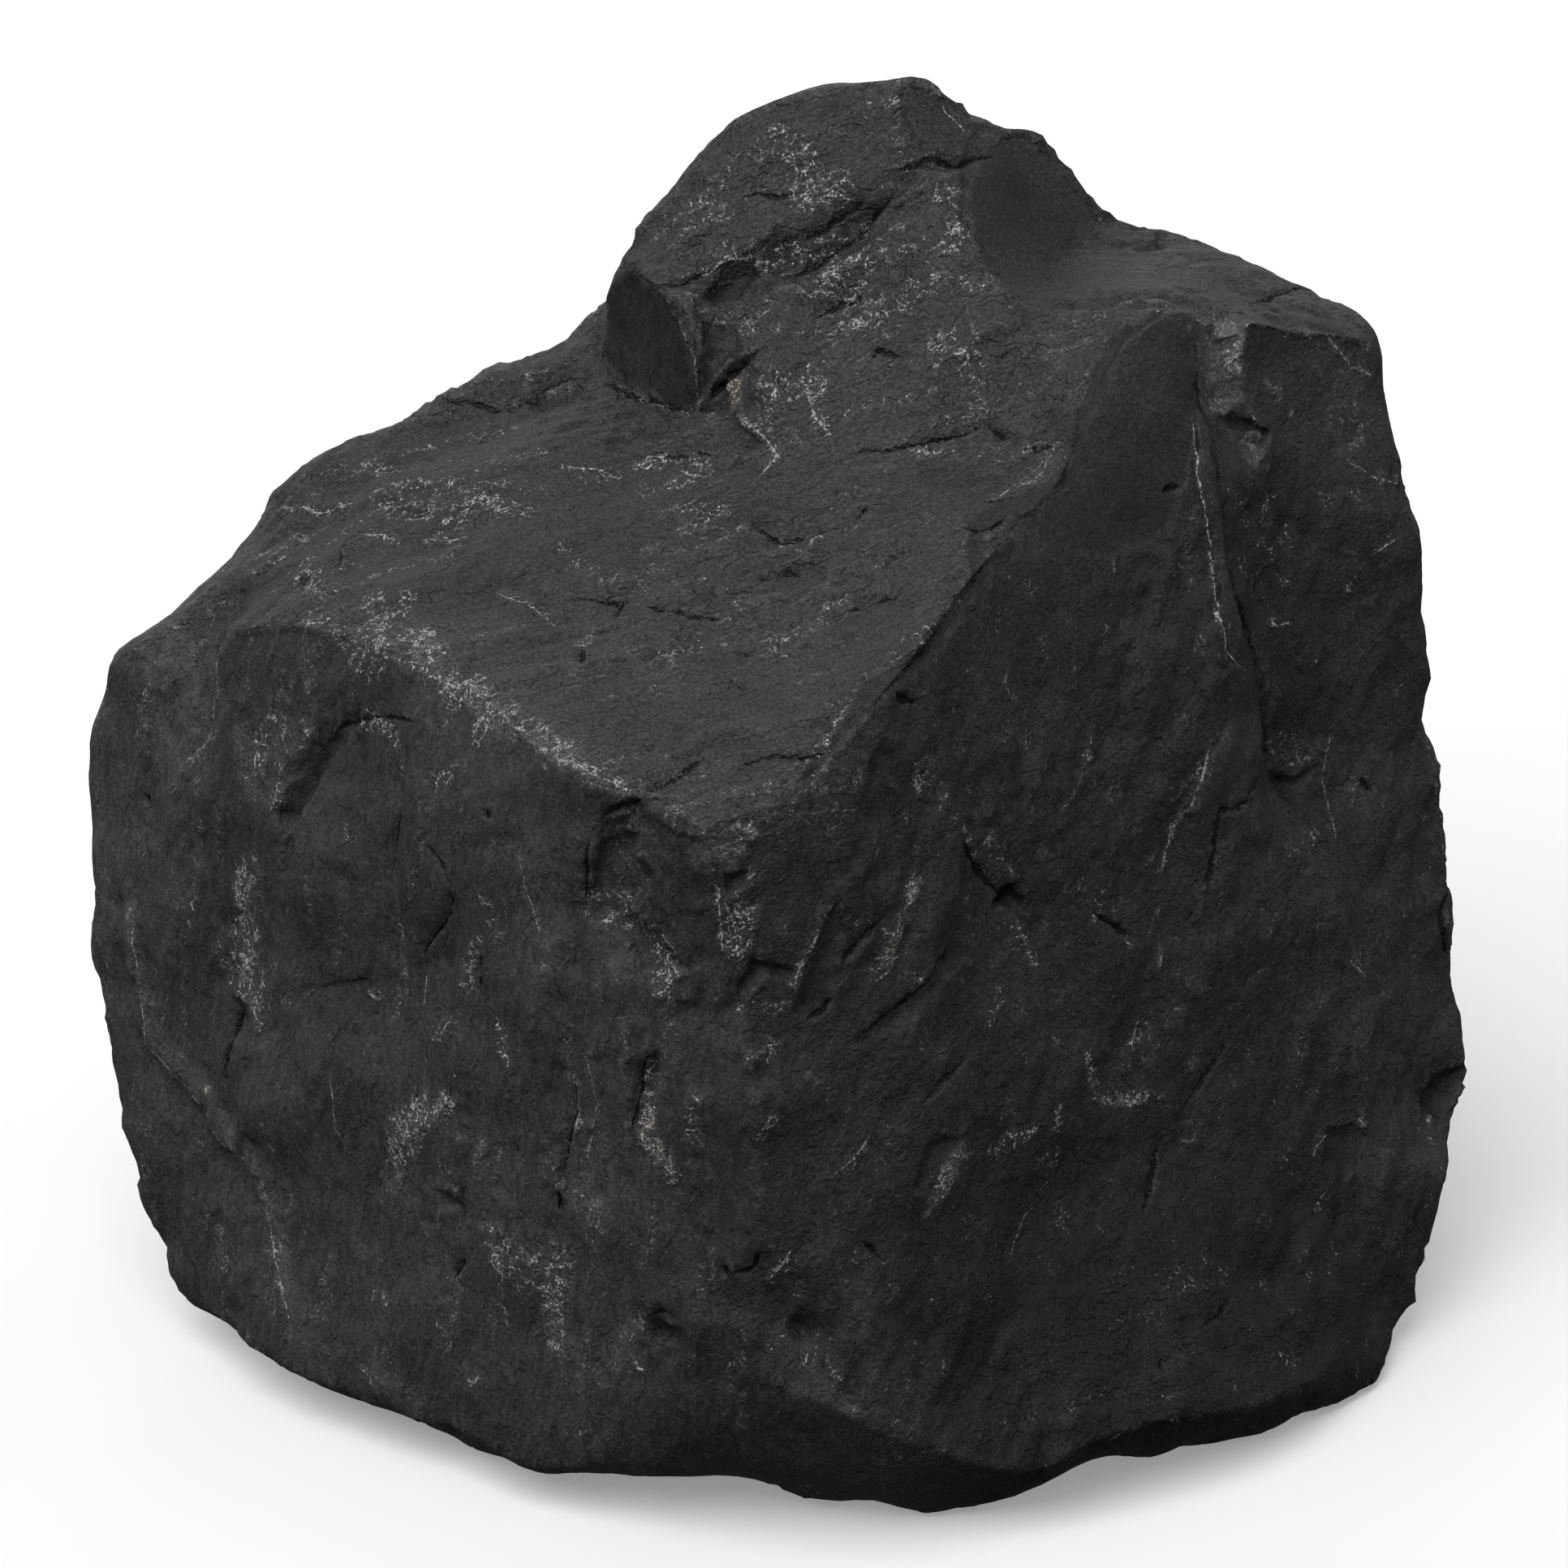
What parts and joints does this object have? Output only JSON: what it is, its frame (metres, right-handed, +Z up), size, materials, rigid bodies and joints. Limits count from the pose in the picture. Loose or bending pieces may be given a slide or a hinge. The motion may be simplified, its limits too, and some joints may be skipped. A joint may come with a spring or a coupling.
{
  "type": "raw shungite stone",
  "caption": "Raw black shungite lump with a tilted top, a blunt crown at the back, rough broken walls and a flat foot that it rests on.",
  "frame": {"origin": "on the surface that the stone rests on, under the middle of its box", "axes": "+X to the right across the front corner, +Y to the back where the crown is, +Z up"},
  "size_m": [0.0754, 0.0602, 0.0646],
  "materials": {
    "shungite": "matte"
  },
  "bodies": {
    "root": {"stone": "shungite"}
  },
  "joints": []
}
